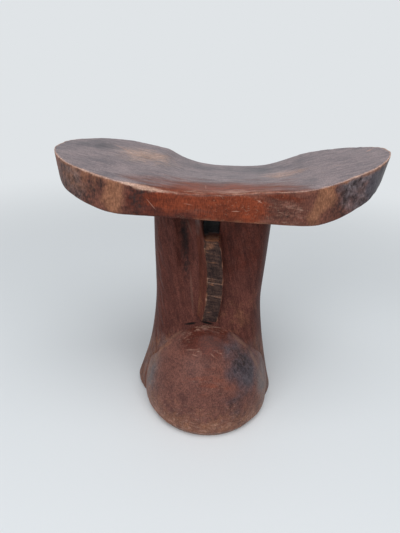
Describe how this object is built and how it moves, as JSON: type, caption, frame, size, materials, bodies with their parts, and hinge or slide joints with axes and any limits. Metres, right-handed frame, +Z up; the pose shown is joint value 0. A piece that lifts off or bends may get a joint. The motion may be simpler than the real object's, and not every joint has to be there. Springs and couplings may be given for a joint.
{
  "type": "carved wooden headrest stool",
  "caption": "Low carved wooden rest with a crescent saddle seat on a flared slab post, ribbed front and back, standing on domed feet; holds a neck or serves as a small stool.",
  "frame": {"origin": "on the table, under the middle of the seat", "axes": "+X along the seat to the right wing, -Y to the front with the pictured rib, +Z up"},
  "size_m": [0.204, 0.12, 0.1993],
  "materials": {
    "seat_wood": "hand-polished by use, worn pale along the rim's edges, scorched at the ends",
    "post_wood": "knife-carved, darkened, low sheen",
    "rib_wood": "rough cross-cut face, scorched, with worn edges",
    "foot_wood": "rubbed smooth, speckled, scorched in patches"
  },
  "bodies": {
    "root": {"seat": "seat_wood", "post": "post_wood", "front_rib": "rib_wood", "rear_rib": "rib_wood", "front_foot": "foot_wood", "rear_foot": "foot_wood"}
  },
  "joints": []
}
